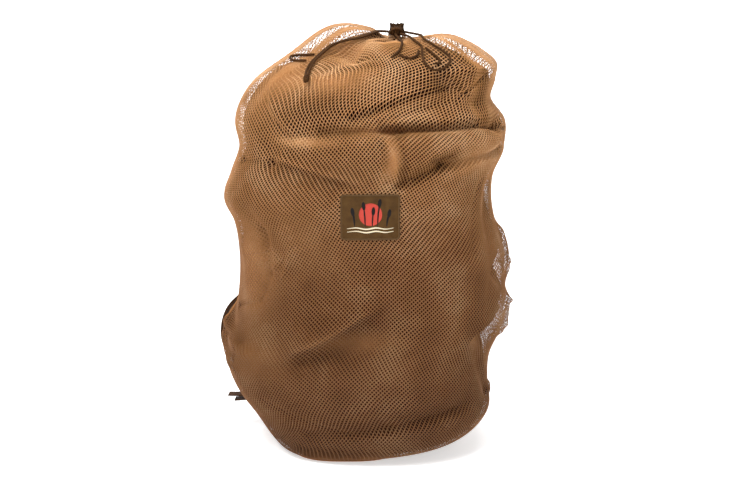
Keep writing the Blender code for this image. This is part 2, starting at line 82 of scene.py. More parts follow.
# Folds. Columns: turn and up of both ends, how far they stand out, and their width above and below
FOLDS = {
    "belly": (4, 170, 10, 215, 11, 95, 90),
    "pillow_lip": (-25, 280, -3, 342, 20, 62, 15),
    "under_lip": (-16, 262, 12, 318, -7, 18, 28),
    "bottom_crease_left": (-30, 108, 8, 134, -7, 17, 15),
    "bottom_crease_right": (8, 134, 52, 158, -7, 17, 15),
    "brown_band": (-38, 654, 12, 658, -12, 17, 14),
    "dark_band": (10, 664, 72, 655, -18, 16, 14),
    "dark_band_end": (72, 655, 84, 622, -7, 15, 13),
    "dome_edge": (-6, 684, 44, 718, -7, 14, 12),
    "dome_pillow": (-10, 742, 22, 750, 9, 42, 36),
    "dent_right": (42, 746, 48, 732, -14, 18, 18),
    "dent_left": (-46, 826, -34, 812, -15, 22, 18),
    "round_bulge": (-20, 846, 4, 850, 9, 30, 30),
    "layer_step": (-46, 750, -8, 764, 5, 12, 26),
    "top_left_bulge": (-104, 858, -80, 870, 32, 48, 46),
    "top_right_bulge": (52, 862, 92, 856, 15, 38, 44),
    "shoulder_cross": (38, 766, 62, 700, -6, 12, 12),
    "shoulder_ridge": (50, 774, 74, 767, 6, 12, 12),
    "dent_middle_right": (36, 604, 42, 612, -11, 15, 16),
    "v_left": (-52, 628, 0, 566, -7, 16, 20),
    "v_right": (50, 618, 22, 574, -7, 16, 20),
    "front_ridge": (9, 648, 13, 590, 5, 14, 14),
    "left_crease": (-56, 510, -42, 412, -7, 14, 15),
    "left_pad": (-64, 432, -60, 330, 8, 32, 26),
    "short_fold": (-35, 450, -43, 408, 4, 10, 10),
    "stack_high": (-88, 272, -56, 246, 8, 11, 11),
    "stack_low": (-88, 238, -62, 212, 6, 11, 11),
    "right_hollow_high": (71, 545, 60, 350, -6, 15, 15),
    "right_hollow_low": (50, 292, 72, 160, -6, 15, 15),
    "flap_high": (89, 440, 87, 378, 9, 15, 18),
    "flap_low": (88, 318, 85, 284, 9, 14, 16),
    "back_valley": (181, 230, 178, 540, -12, 45, 45),
    "back_fold_high": (140, 560, 205, 610, -7, 20, 26),
    "back_fold_middle": (150, 400, 192, 366, 6, 20, 26),
    "back_fold_low": (168, 170, 214, 196, -6, 22, 26),
    "back_shoulder": (120, 700, 160, 745, -8, 20, 24),
}
# Sharper creases that only the net, the load and the seams follow, with the same columns
CREASES = {
    "lip_edge": (-32, 268, -5, 342, 8, 20, 4),
    "lip_shadow": (-30, 260, -3, 332, -9, 4, 20),
    "belly_shadow": (-50, 226, -20, 262, -3, 5, 14),
    "band_lip": (-36, 650, 16, 648, 6, 4, 9),
    "band_shadow": (-26, 660, 18, 663, -8, 8, 5),
    "dark_lip": (20, 655, 78, 656, 5, 4, 10),
    "dark_shadow": (17, 665, 60, 670, -11, 6, 5),
    "dark_turn": (60, 670, 84, 642, -6, 5, 5),
    "diagonal_shadow": (-8, 686, 46, 742, -6, 4, 7),
    "diagonal_lip": (-12, 694, 42, 750, 3.5, 6, 4),
    "second_diagonal": (0, 676, 50, 716, -4, 5, 5),
    "dome_left": (-64, 726, -44, 655, -8, 4, 34),
    "dome_left_lip": (-60, 726, -40, 658, 3, 8, 4),
    "dome_left_top": (-65, 726, -52, 757, 2.5, 4, 7),
    "bulge_left": (-38, 822, -36, 852, -5, 5, 5),
    "bulge_top": (-36, 858, -8, 892, -4, 5, 5),
    "bulge_foot": (-36, 815, -12, 806, -4, 4, 7),
    "v_left_line": (-69, 596, -50, 601, -6, 5, 8),
    "v_left_low": (-50, 600, -4, 558, -9, 6, 14),
    "v_left_lip": (-46, 610, 0, 568, 6, 10, 5),
    "v_right_line": (70, 613, 36, 594, -8, 6, 8),
    "v_right_low": (36, 594, 18, 560, -8, 6, 12),
    "dent_dark": (31, 607, 41, 612, -7, 6, 5),
    "ridge_left": (4, 650, 11, 572, -6, 5, 5),
    "ridge_right": (14, 650, 20, 578, -6, 5, 5),
    "ridge_top": (8, 650, 15, 575, 6, 5, 5),
    "cross_down": (38, 780, 58, 716, -4, 4, 4),
    "cross_up": (74, 776, 50, 706, -4, 4, 4),
    "cross_ridge": (52, 772, 72, 770, 3.5, 4, 5),
    "pad_edge": (-51, 478, -50, 400, -5, 4, 9),
    "pad_foot": (-50, 400, -54, 350, -3.5, 4, 6),
    "pad_low": (-54, 350, -76, 318, -4, 5, 5),
    "short_lip": (-38, 456, -44, 400, 3, 3, 5),
    "flap_top": (84, 392, 70, 388, 7, 6, 7),
    "flap_middle": (86, 317, 72, 316, 8, 5, 5),
    "flap_low": (88, 275, 74, 272, 7, 6, 6),
    "flap_foot": (88, 152, 76, 150, 5, 6, 6),
    "edge_bulge": (-93, 284, -87, 254, 13, 22, 15),
    "pad_line": (-42, 440, -49, 410, 4, 4, 5),
    "stack_line": (-86, 258, -62, 264, -5, 4, 4),
    "stack_foot": (-84, 226, -60, 216, -4, 4, 4),
    "bottom_line": (-10, 116, 45, 154, -4, 4, 9),
    "bottom_left_line": (-46, 170, -12, 117, -3, 4, 8),
    "side_lines": (62, 560, 52, 430, -3, 5, 6),
}
CREASE_CALM = 30  # creases fade to nothing this near the base's seam and the neck
GATHER_COUNT = 12
GATHER_DEPTH = 3.0
GATHER_REACH = 100
CALM = 26
PATCH_WIDTH, PATCH_HEIGHT = 102, 80
PATCH_UP = 512
PATCH_X = 0
PATCH_CALM = 22
PATCH_FACES = (1.7, 0.7)  # how far above the net its outer and inner face lie
PATCH_CORNER = 5
EDGE_RADIUS, EDGE_LIFT, STITCH_STEP = 1.5, 1.5, 0.8

# The net: diamonds of knitted strands, with as many across each panel at every height
STRAND = 1.9
STRAND_HIGH = 0.75
STRAND_SHARES = (0.2, 0.86)  # the least and the most that strands take up of their hole
NET_LIFT = -0.1
BASE_NET_UP, BASE_NET_INSIDE = 0.2, 1.5
UP_SAMPLES, TURN_SAMPLES = 1001, 541
CELL_WIDTH = 7.35
PANEL_CELLS = 102
TWIST, TWIST_FROM, TWIST_RUN = 10, 640, 200  # how far the cloth turns round as it rises to the mouth
NET_ROWS = 240
SPLIT_ROW = 122
ROW_STRETCH, STRETCH_UP, STRETCH_REACH = 0.45, 735, 95  # the cells are taller over the load's top
ROW_TILT, TILT_UP, TILT_REACH = 26, 740, 100  # and their rows sink to the right there
ROW_ARCH, ARCH_RUN = 30, 160  # on the body the rows rise to the middle of each panel
# Where the cloth that is wider than the girth is crowded into gathers. Columns: turn, width and share.
# It starts where CROWD_FROM of the width is left over, and is complete CROWD_RUN further on
CROWD_FROM, CROWD_RUN = 0.05, 0.2
GATHER_LINES = (
    (-86, 4.0, 1.5), (-68, 3.6, 1.0), (-42, 2.4, 0.5), (60, 2.6, 0.6), (75, 3.6, 1.0), (87, 4.0, 1.4),
    (93, 3.0, 0.5), (160, 5.0, 1.4), (183, 4.0, 1.4), (206, 5.0, 1.4), (267, 3.0, 0.5),
)

# Where the net is stretched open or lies closed up. Columns: turn, up, reach round, reach up and how
# much wider (below 0) or narrower the holes are
OPENNESS = (
    (-34, 690, 22, 26, -0.26), (-10, 704, 16, 20, -0.16), (22, 748, 26, 30, -0.22), (8, 606, 34, 34, -0.22),
    (-13, 335, 22, 40, -0.16), (-12, 540, 30, 40, -0.08), (-26, 757, 20, 16, 0.35), (74, 770, 14, 26, -0.2),
    (-60, 400, 11, 70, 0.5), (4, 655, 22, 7, 0.4), (46, 664, 34, 7, 0.4), (-4, 292, 14, 18, 0.35),
    (64, 600, 14, 22, 0.35), (-88, 700, 16, 120, 0.1), (66, 400, 8, 60, 0.2), (-70, 250, 12, 22, 0.3),
    (11, 612, 3.4, 34, 0.6), (-34, 640, 12, 7, 0.5), (-118, 866, 40, 50, -0.4), (114, 860, 40, 50, -0.35),
    (-84, 836, 16, 30, -0.25), (82, 383, 12, 22, -0.1), (84, 314, 8, 10, -0.1), (78, 258, 12, 26, -0.1),
)

# The load's surface behind the holes: how far inside the net it lies, the places where it lies deeper
# and light comes through, and the places where it is painted lighter, as painted light where light shows
# through the thin net and as the tan of net lying in layers. Columns: turn, up, reach round, reach up
# and depth or lightness
LOAD_INSET = 6
LOAD_THICK = 0.8
LOAD_FROM, LOAD_BELOW_TOP = 2, 22  # the load starts this far up and ends this far below the neck's top
LOAD_NEARER_TOP, LOAD_NEARER_FOOT = 60, 40  # it comes up to the net within these stretches of its ends
LOAD_COLUMNS, LOAD_ROWS = 220, 160
LOAD_HOLLOWS = (
    (86, 383, 13, 22, 85), (88, 314, 11, 11, 60), (80, 258, 17, 26, 90), (84, 111, 10, 16, 50),
    (-80, 226, 8, 16, 40), (-84, 468, 8, 20, 40), (-86, 700, 10, 50, 40), (-86, 600, 8, 30, 30),
    (-98, 840, 16, 40, 45), (90, 796, 14, 40, 45), (88, 530, 8, 30, 40), (115, 856, 36, 40, 50),
    (-120, 862, 40, 40, 56),
)
LOAD_LIGHT_AND_LAYER_TONES = (
    (-64, 400, 13, 80, 1.0), (2, 662, 20, 8, 0.55), (-8, 288, 14, 16, 0.3), (34, 666, 22, 6, 0.2),
    (62, 602, 16, 26, 0.75), (-30, 752, 26, 22, 0.6), (-32, 470, 12, 60, 0.15), (-80, 780, 26, 80, 0.9),
    (11, 612, 3.4, 34, 0.8), (-34, 640, 12, 7, 0.6), (84, 790, 16, 50, 0.5), (82, 380, 8, 22, 1.3),
    (85, 312, 6, 11, 1.3), (74, 260, 10, 22, 1.4), (84, 256, 8, 26, 1.2), (82, 111, 7, 16, 0.9),
    (30, 860, 60, 30, 0.45), (-44, 850, 30, 26, 0.45), (-60, 240, 22, 40, 0.35), (70, 440, 14, 90, 0.35),
)

# Cords, with the solids' routes. Columns: turn, up and what is added to the lift of the middle
CORD = 4.2
CORD_LIFT = CORD / 2 + 2.3
TAIL_SPREAD = 2.4  # each tail lies this far to its side of the route
CORD_STEP = 1.2
TAIL_ROUTE = (
    (-50, 899, 4.0), (-46.5, 884, 2.0), (-46, 857, 1.0), (-54, 841, 2.0), (-57.5, 826, 2.8),
    (-57.5, 808, 1.2), (-56, 787, 0.4), (-51.5, 766, 0.4), (-47, 754, 0.8),
)
CORD_ROUTES = {
    "drawcord_bow_loop": (
        (54, 892, 0), (44, 866, 0), (41, 851, 0), (43.8, 832, 0), (47, 815, 0), (48, 798, 0), (44.5, 785, 0),
        (40, 776, 0), (34, 771.5, 0), (29.5, 776, 0), (27.5, 790, 0), (28.5, 806, 0), (32.5, 832, 0),
        (30, 850, 0), (29, 868, 0),
    ),
    "drawcord_bow_inner": (
        (36, 829, -1.9), (38.3, 812, -1.9), (40, 797, -1.9), (39, 788.5, -1.9), (35.5, 788, -1.9),
    ),
    "drawcord_drop": (
        (12, 880, -0.9), (13.5, 860, -0.9), (13, 842, -0.9), (8.5, 822, -0.9), (0.5, 803, -0.9),
    ),
    "drawcord_link": (
        (8, 812, -1.5), (12.3, 805.5, -1.5), (16.5, 801.5, -1.5), (20.8, 802.5, -1.5), (24.8, 810, -1.5),
        (28.3, 823, -1.7),
    ),
    "drawcord_small_loop": (
        (-62, 804, -1.2), (-67.5, 800.5, -1.2), (-72.5, 797, -1.2), (-76.5, 791.5, -1.2),
        (-73, 786.5, -1.2), (-67, 787, -1.2), (-61.5, 789, -1.2),
    ),
}
KNOT_STARTS = {
    "drawcord_tails": (33, -21.5, 756),
    "drawcord_bow_loop": (60.6, -20.5, 755.5),
    "drawcord_drop": (43.6, -28.7, 752.6),
}
KNOT_ENDS = {"drawcord_bow_loop": (53.3, -28.4, 753.1)}
BOW_AT = (47, -21.2, 757)
BOW_HALF = (7.5, 8.5, 13)
BOW_ACROSS = ((-11, 1, -2), (-7, -5.5, 2.5), (0, -7.2, 4.6), (7, -5.5, 1.5), (11, 0, -3))
END_HALF = (5.2, 4.6, 11)
END_CORE, END_CORE_REACH = 2.6, 9
KNOT_SIDES, KNOT_WINDS, KNOT_STEP = 12, 4.5, 1.5
WIND_POINTS = 22  # points on each turn round a knot

# Straps, with the solids' routes. Columns: turn, up and lift of the inner face
STRAP_WIDTH, STRAP_THICK = 38, 2.5
STRAP_STEP = 2.5
SEWN_LIFT = 3.6
STRAPS = {
    "strap_left": (
        (-163, 655, SEWN_LIFT), (-162, 625, 5), (-159, 560, 8), (-154, 480, 12), (-145, 400, 20),
        (-133, 330, 26), (-122, 278, 32), (-116, 240, 39), (-115, 205, 37), (-120, 168, 27),
        (-129, 136, 15), (-136, 110, SEWN_LIFT), (-137, 90, SEWN_LIFT),
    ),
    "strap_right": (
        (163, 655, SEWN_LIFT), (162, 625, 5), (159, 560, 8), (154, 480, 12),
        (149, 400, 18), (145, 320, 22), (143, 250, 20), (142, 190, 12),
        (141, 145, 5), (140, 118, SEWN_LIFT), (140, 92, SEWN_LIFT),
    ),
}
TAIL_WIDTH, TAIL_THICK = 25, 2.0
STRAP_TAILS = {
    "strap_tail_upper": ((-97, 116, 1.6), (-97, 124, 14), (-97, 132, 28), (-97, 140, 42)),
    "strap_tail_lower": ((-97, 107, 1.6), (-97, 114, 12), (-97, 121, 25), (-97, 128, 38)),
}

# Seams: along the panels' edges, and round the sack just above the base
SEAM_RADIUS, SEAM_LIFT = 1.1, -0.4
SEAM_GAP = 8  # the side seams end this far below the neck's top
BASE_SEAM_RADIUS, BASE_SEAM_LIFT, BASE_SEAM_UP = 1.3, 0.2, 4.2

# Studio. Columns: where each lamp stands, its power in watts and its width
LAMPS = {
    "key": ((-900, -1500, 2600), 88, 1200),
    "fill": ((1900, -1700, 1500), 8, 1600),
    "top": ((100, 300, 2700), 42, 1800),
}
LAMP_TARGET = (0, 0, 380)
ROOM_LIGHT = 0.4
WHITE = (1, 1, 1, 1)
PAPER = (0.9, 0.9, 0.9, 1)
SHEET_REACH = 5000
# The sheets: material, glow and corners in reaches
SHEETS = {
    "paper_floor": ("white_paper", 0.55, ((-1, -1, 0), (1, -1, 0), (1, 1, 0), (-1, 1, 0))),
    "paper_backdrop": ("lit_backdrop", 1.2, ((-1, 1, 0), (1, 1, 0), (1, 1, 1), (-1, 1, 1))),
}


# Objects and the camera
def placed(name, data, at=(0, 0, 0), angles=(0, 0, 0)):
    """A new object in the scene, at a place in millimetres and turned by angles in radians."""
    made = bpy.data.objects.new(name, data)
    made.location = [value * MM for value in at]
    made.rotation_euler = angles
    bpy.context.scene.collection.objects.link(made)
    return made


def make_camera():
    """The photo's camera, level from side to side."""
    data = bpy.data.cameras.new("photo_view")
    data.lens = LENS
    data.sensor_width = SENSOR
    angles = (math.radians(90 - CAMERA_ABOVE), 0, 0)
    bpy.context.scene.camera = placed("photo_view", data, CAMERA_AT, angles)


# The sack's surface
SECTION = dict(zip(SECTION_COLUMNS, np.array(SECTIONS, float).T))
SIDES = ("left", "right", "front", "back")


def cloth_distance():
    """How far up the cloth each section lies: the mean of the distances along the four sides."""
    steps = [np.hypot(np.diff(SECTION[side]), np.diff(SECTION["z"])) for side in SIDES]
    return np.concatenate([[0], np.cumsum(np.mean(steps, axis=0))])


SECTION_UP = cloth_distance()
TOP = SECTION_UP[-1]


def through_points(along, values, places):
    """A cubic through values at along, read at places, with slopes from the neighbouring values."""
    slope = np.gradient(values, along, axis=0)
    i = np.clip(np.searchsorted(along, places) - 1, 0, len(along) - 2)
    step = along[i + 1] - along[i]
    t = (places - along[i]) / step
    if values.ndim > 1:
        step, t = step[..., None], t[..., None]
    return (
        (1 + 2 * t) * (1 - t) ** 2 * values[i]
        + t * (1 - t) ** 2 * step * slope[i]
        + t**2 * (3 - 2 * t) * values[i + 1]
        + t**2 * (t - 1) * step * slope[i + 1]
    )


def between_sections(name, up):
    """A column of the sections at any place up the cloth."""
    return through_points(SECTION_UP, SECTION[name], up)


def as_arrays(one, other):
    """Both values as arrays of one shape."""
    return np.broadcast_arrays(np.asarray(one, float), np.asarray(other, float))


def full_form(turn, up):
    """The form without folds: at each height a superellipse about the section's middle, whose reach in
    a direction is (|across/half|^n + |ahead/depth|^n)^(-1/n)."""
    turn, up = as_arrays(turn, up)
    angle = np.radians(turn)
    across, ahead = np.sin(angle), np.cos(angle)
    left, right, front, back = (between_sections(side, up) for side in SIDES)
    depth = np.where(ahead > 0, front, back)
    power = between_sections("square", up)
    half = (right - left) / 2
    reach = (np.abs(across / half) ** power + np.abs(ahead / depth) ** power) ** (-1 / power)
    return side_by_side((left + right) / 2 + reach * across, -reach * ahead, between_sections("z", up))


def side_by_side(*values):
    """The values stacked along a new last axis."""
    return np.stack(values, axis=-1)


def unit(vectors):
    """The vectors at length 1."""
    return vectors / np.maximum(np.linalg.norm(vectors, axis=-1, keepdims=True), 1e-9)


def outward(turn, up):
    """Unit normals of the form without folds: the direction round crossed with the direction up."""
    small_turn, small_up = 0.2, 0.5
    low, high = np.maximum(up - small_up, 0), np.minimum(up + small_up, TOP)
    around = full_form(turn + small_turn, up) - full_form(turn - small_turn, up)
    along = full_form(turn, high) - full_form(turn, low)
    return unit(np.cross(around, along))


def bell(value):
    """1 at 0 and falling to either side: exp(-value^2)."""
    return np.exp(-(value**2))


def eased(share):
    """0 to 1 with a level start and end: 3s^2 - 2s^3."""
    share = np.clip(share, 0, 1)
    return share * share * (3 - 2 * share)


def turn_at(x, up):
    """The turn of a place on the front, from its x."""
    left, right, front, _ = (between_sections(side, up) for side in SIDES)
    return np.degrees(np.arctan2(x - (left + right) / 2, front))


def on_patch(turn, up):
    """1 under the patch, falling to 0 a little way round it."""
    middle = turn_at(PATCH_X, PATCH_UP)
    half_turn = turn_at(PATCH_X + PATCH_WIDTH / 2, PATCH_UP) - middle
    calm_turn = half_turn * PATCH_CALM / (PATCH_WIDTH / 2)
    sideways = 1 - (np.abs(turn - middle) - half_turn) / calm_turn
    upright = 1 - (np.abs(up - PATCH_UP) - PATCH_HEIGHT / 2) / PATCH_CALM
    return eased(sideways) * eased(upright)


def away_from(turn, other):
    """The turn from one place to another, the short way round."""
    return (turn - other + 180) % 360 - 180


def ridges(table, turn, up):
    """The folds of a table, each a ridge along a line whose section is a bell of its own width on
    either side: rise * exp(-(side / width)^2 - (past / end)^2)."""
    total = np.zeros(np.broadcast(turn, up).shape)
    for turn_0, up_0, turn_1, up_1, rise, over, under in table.values():
        left, right, front, back = (between_sections(side, (up_0 + up_1) / 2) for side in SIDES)
        degree = (right - left + front + back) / 4 * math.radians(1)
        x, y = away_from(turn, turn_0) * degree, up - up_0
        run_x, run_y = (turn_1 - turn_0) * degree, up_1 - up_0
        length = math.hypot(run_x, run_y)
        run_x, run_y = run_x / length, run_y / length
        past = x * run_x + y * run_y
        past = past - np.clip(past, 0, length)
        side = y * run_x - x * run_y
        width = np.where(side > 0, over, under)
        total = total + rise * bell(side / width) * bell(past / ((over + under) / 2))
    return total


def fold_height(turn, up):
    """How far folds, dents and gathers stand out. The gathers are a cosine round the mouth."""
    total = ridges(FOLDS, turn, up) * eased(up / CALM) * eased((TOP - up) / CALM) * (1 - on_patch(turn, up))
    near = eased(1 - (TOP - up) / GATHER_REACH)
    wave = np.cos(np.radians(turn) * GATHER_COUNT)
    return total + GATHER_DEPTH * wave * near * eased((TOP - up) / CALM)


def creased(turn, up, lift=0.0):
    """Points on the net with its sharper creases, lift millimetres above it."""
    turn, up = as_arrays(turn, up)
    calm = eased(up / CREASE_CALM) * eased((TOP - up) / CREASE_CALM) * (1 - on_patch(turn, up))
    return cloth(turn, up, lift + ridges(CREASES, turn, up) * calm)


def patches(table, turn, up):
    """The sum of a table's round patches: value * exp(-(round / reach)^2 - (up / reach)^2)."""
    return sum(
        value * bell(away_from(turn, row_turn) / reach_round) * bell((up - row_up) / reach_up)
        for row_turn, row_up, reach_round, reach_up, value in table
    )


def cloth(turn, up, lift=0.0):
    """Points on the net's outer face, lift millimetres above it."""
    turn, up = as_arrays(turn, up)
    high = (fold_height(turn, up) + lift)[..., None]
    return full_form(turn, up) + outward(turn, up) * high


# Meshes from arrays
def add_piece(name, points, faces, material, replaced=(), uv=None):
    """A piece that rides on the sack, from points in millimetres and arrays of faces, each array with
    its own number of corners. uv is a value pair for each point."""
    mesh = bpy.data.meshes.new(name)
    faces = [np.asarray(some) for some in faces if len(some)]
    corners = np.concatenate([some.ravel() for some in faces])
    sizes = np.concatenate([np.full(len(some), some.shape[1]) for some in faces])
    used, corners = np.unique(corners, return_inverse=True)
    corners = corners.ravel()
    mesh.vertices.add(len(used))
    mesh.vertices.foreach_set("co", (points[used] * MM).astype(np.float32).ravel())
    mesh.loops.add(len(corners))
    mesh.loops.foreach_set("vertex_index", corners.astype(np.int32))
    mesh.polygons.add(len(sizes))
    starts = np.concatenate([[0], np.cumsum(sizes)[:-1]])
    mesh.polygons.foreach_set("loop_start", starts.astype(np.int32))
    if uv is not None:
        layer = mesh.uv_layers.new(name="UVMap")
        layer.data.foreach_set("uv", uv[used][corners].astype(np.float32).ravel())
    mesh.update(calc_edges=True)
    mesh.validate()
    mesh.shade_smooth()
    mesh.materials.append(material)
    piece = placed(name, mesh)
    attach(piece, "root")
    if replaced:
        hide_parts(*replaced)
    return piece


def grid_faces(rows, across, ring=False, loop=False):
    """Quads of a grid of points, closed across where ring and along where loop."""
    index = np.arange(rows * across).reshape(rows, across)
    if ring:
        index = np.concatenate([index, index[:, :1]], axis=1)
    if loop:
        index = np.concatenate([index, index[:1]], axis=0)
    corners = [index[:-1, :-1], index[:-1, 1:], index[1:, 1:], index[1:, :-1]]
    return side_by_side(*corners).reshape(-1, 4)


def add_parts(name, parts, material, replaced=()):
    """Several tubes, each of points, quads, uv and triangles, as one piece."""
    first = np.cumsum([0] + [len(part[0]) for part in parts])
    points, uv = (np.concatenate([part[k] for part in parts]) for k in (0, 2))
    faces = [np.concatenate([part[k] + start for part, start in zip(parts, first)]) for k in (1, 3)]
    return add_piece(name, points, faces, material, replaced, uv)


def along_path(path):
    """The distance along a path at each of its points."""
    return np.concatenate([[0], np.cumsum(np.linalg.norm(np.diff(path, axis=0), axis=1))])


def smooth_path(points, step):
    """Points about step apart on one smooth curve through the given points."""
    points = np.asarray(points, float)
    along = along_path(points)
    places = np.linspace(0, along[-1], max(2, round(along[-1] / step) + 1))
    return through_points(along, points, places)


def frames(path):
    """Unit directions along a path and two across it, turned as little as possible from one point to
    the next."""
    ahead = unit(np.gradient(path, axis=0))
    side = np.zeros_like(ahead)
    start = np.cross(ahead[0], (0, 0, 1.0))
    if np.linalg.norm(start) < 0.1:
        start = np.cross(ahead[0], (1.0, 0, 0))
    side[0] = start / np.linalg.norm(start)
    for i in range(1, len(path)):
        flat = side[i - 1] - ahead[i] * (side[i - 1] @ ahead[i])
        side[i] = flat / np.linalg.norm(flat)
    return ahead, side, np.cross(ahead, side)


def all_round(count):
    """Angles evenly round a circle, in radians."""
    return np.linspace(0, 2 * math.pi, count, endpoint=False)


def rings(path, side, rise, angle, reach):
    """A grid of points round a path, at reach from it in the directions of angle."""
    return path[:, None] + reach[..., None] * (
        np.cos(angle)[:, None] * side[:, None] + np.sin(angle)[:, None] * rise[:, None]
    )


def spread(across, along):
    """A grid's UV: across for its columns and along for its rows."""
    return side_by_side(*np.broadcast_arrays(across[None, :], along[:, None]))


def capped(grid, uv, tips, tip_uv):
    """A tube from its grid of points, closed by a fan of triangles to a tip at each end."""
    rows, sides = grid.shape[:2]
    total, last = rows * sides, (rows - 1) * sides
    ring = np.arange(sides)
    after = np.roll(ring, -1)
    tip = np.full(sides, total)
    caps = [side_by_side(tip, after, ring), side_by_side(tip + 1, last + ring, last + after)]
    points = np.concatenate([grid.reshape(-1, 3), tips])
    uv = np.concatenate([uv.reshape(-1, 2), tip_uv])
    return points, grid_faces(rows, sides, ring=True), uv, np.concatenate(caps)


def braided_tube(path, radius, sides=16, strands=4, lay=7.0, relief=0.07):
    """A closed round cord along a path: the radius swells where one of two crossing families of
    strands passes over, radius * (1 + relief * max(cos(n a + k s), cos(n a - k s)))."""
    ahead, side, rise = frames(path)
    along = along_path(path)
    angle = all_round(sides)
    turn, run = strands * angle[None, :], 2 * math.pi * along[:, None] / lay
    wave = np.maximum(np.cos(turn + run), np.cos(turn - run))
    narrowed = np.ones((len(path), 1))
    narrowed[[0, -1]] = 0.55
    grid = rings(path, side, rise, angle, radius * (1 + relief * wave) * narrowed)
    tips = path[[0, -1]] + ahead[[0, -1]] * radius * 0.12 * np.array([[-1], [1]])
    return capped(grid, spread(angle * radius, along), tips, [[0, 0], [0, along[-1]]])


def ring_tube(path, radius, sides, relief, lay):
    """A closed loop of rope along a path: the radius waves once every lay millimetres."""
    ahead = unit(np.roll(path, -1, axis=0) - np.roll(path, 1, axis=0))
    side = unit(np.cross(ahead, (0, 1.0, 0)))
    along = along_path(np.concatenate([path, path[:1]]))[:-1]
    angle = all_round(sides)
    reach = radius * (1 + relief * np.cos(2 * math.pi * along[:, None] / lay + angle))
    points = rings(path, side, np.cross(ahead, side), angle, reach).reshape(-1, 3)
    quads = grid_faces(len(path), sides, ring=True, loop=True)
    return points, quads, spread(angle * radius, along).reshape(-1, 2)


def closed_sheet(outer, inner, uv, ring=False):
    """A thin closed piece between two grids of points, which are rectangular or, where ring, round
    with their rims in the last row."""
    rows, across = outer.shape[:2]
    count = rows * across
    index = np.arange(count).reshape(rows, across)
    edge = np.concatenate([index[0, :-1], index[:-1, -1], index[-1, :0:-1], index[:0:-1, 0]])
    if ring:
        edge = index[-1]
    after = np.roll(edge, -1)
    top = grid_faces(rows, across, ring=ring)
    rim = side_by_side(edge, edge + count, after + count, after)
    points = np.concatenate([outer.reshape(-1, 3), inner.reshape(-1, 3)])
    quads = np.concatenate([top, top[:, ::-1] + count, rim])
    return points, quads, np.concatenate([uv.reshape(-1, 2)] * 2)


# Materials
def linear(code):
    """An sRGB hex colour as linear values."""
    parts = [int(code[i:i + 2], 16) / 255 for i in (1, 3, 5)]
    return (*[c / 12.92 if c <= 0.04045 else ((c + 0.055) / 1.055) ** 2.4 for c in parts], 1.0)


def add(tree, kind, inputs=(), **settings):
    """Add a node with its settings, and with values or links for its inputs."""
    made = tree.nodes.new(kind)
    for name, value in settings.items():
        setattr(made, name, value)
    for socket, value in dict(inputs).items():
        if isinstance(value, bpy.types.NodeSocket):
            tree.links.new(value, made.inputs[socket])
        else:
            made.inputs[socket].default_value = value
    return made


def new_material(name, **values):
    """A Principled material, its tree and shader, with values set on the shader's own sockets."""
    material = bpy.data.materials.new(name)
    material.use_nodes = True
    tree = material.node_tree
    shader = tree.nodes["Principled BSDF"]
    for socket, value in values.items():
        shader.inputs[socket.replace("_", " ")].default_value = value
    return material, tree, shader


def ramp(tree, factor, *stops):
    """A colour ramp through (place, hex colour) stops."""
    made = add(tree, "ShaderNodeValToRGB", {"Fac": factor})
    for spare in list(made.color_ramp.elements)[1:]:
        made.color_ramp.elements.remove(spare)
    made.color_ramp.elements[0].position = stops[0][0]
    made.color_ramp.elements[0].color = linear(stops[0][1])
    for place, code in stops[1:]:
        made.color_ramp.elements.new(place).color = linear(code)
    return made.outputs["Color"]


def mix(tree, share, one, other, blend="MIX"):
    """Two colours mixed by a share from 0 to 1."""
    inputs = {0: share, 6: one, 7: other}
    return add(tree, "ShaderNodeMix", inputs, data_type="RGBA", blend_type=blend).outputs[2]


def object_place(tree):
    """Object coordinates, in metres."""
    return add(tree, "ShaderNodeTexCoord").outputs["Object"]


def own_uv(tree):
    """The piece's own UV, in millimetres."""
    return add(tree, "ShaderNodeUVMap", uv_map="UVMap").outputs["UV"]


def object_noise(tree, size, detail=2.0):
    """Noise in object coordinates whose lumps are about size millimetres."""
    inputs = {"Vector": object_place(tree), "Scale": 1000 / size, "Detail": detail}
    return add(tree, "ShaderNodeTexNoise", inputs).outputs["Fac"]


def threads(tree, place, scale, direction, distortion=0.0, detail=2.0):
    """Parallel rounded threads across a direction."""
    inputs = {"Vector": place, "Scale": scale, "Distortion": distortion, "Detail": detail}
    return add(tree, "ShaderNodeTexWave", inputs, bands_direction=direction).outputs["Fac"]


def product(tree, one, other):
    """One value times another."""
    return add(tree, "ShaderNodeMath", {0: one, 1: other}, operation="MULTIPLY").outputs[0]


def shared(tree, one, share, other):
    """share of one value and the rest of the other."""
    inputs = {0: other, 1: 1 - share, 2: product(tree, one, share)}
    return add(tree, "ShaderNodeMath", inputs, operation="MULTIPLY_ADD").outputs[0]


def between(tree, value, low, high, most=1.0):
    """0 up to low, rising to most at high."""
    return add(tree, "ShaderNodeMapRange", {0: value, 1: low, 2: high, 4: most}).outputs[0]


def colour_and_relief(tree, shader, colour, height, strength, depth):
    """Give a shader its colour and a relief of depth millimetres."""
    tree.links.new(colour, shader.inputs["Base Color"])
    bump = add(tree, "ShaderNodeBump", {"Height": height, "Strength": strength, "Distance": depth * MM})
    tree.links.new(bump.outputs["Normal"], shader.inputs["Normal"])


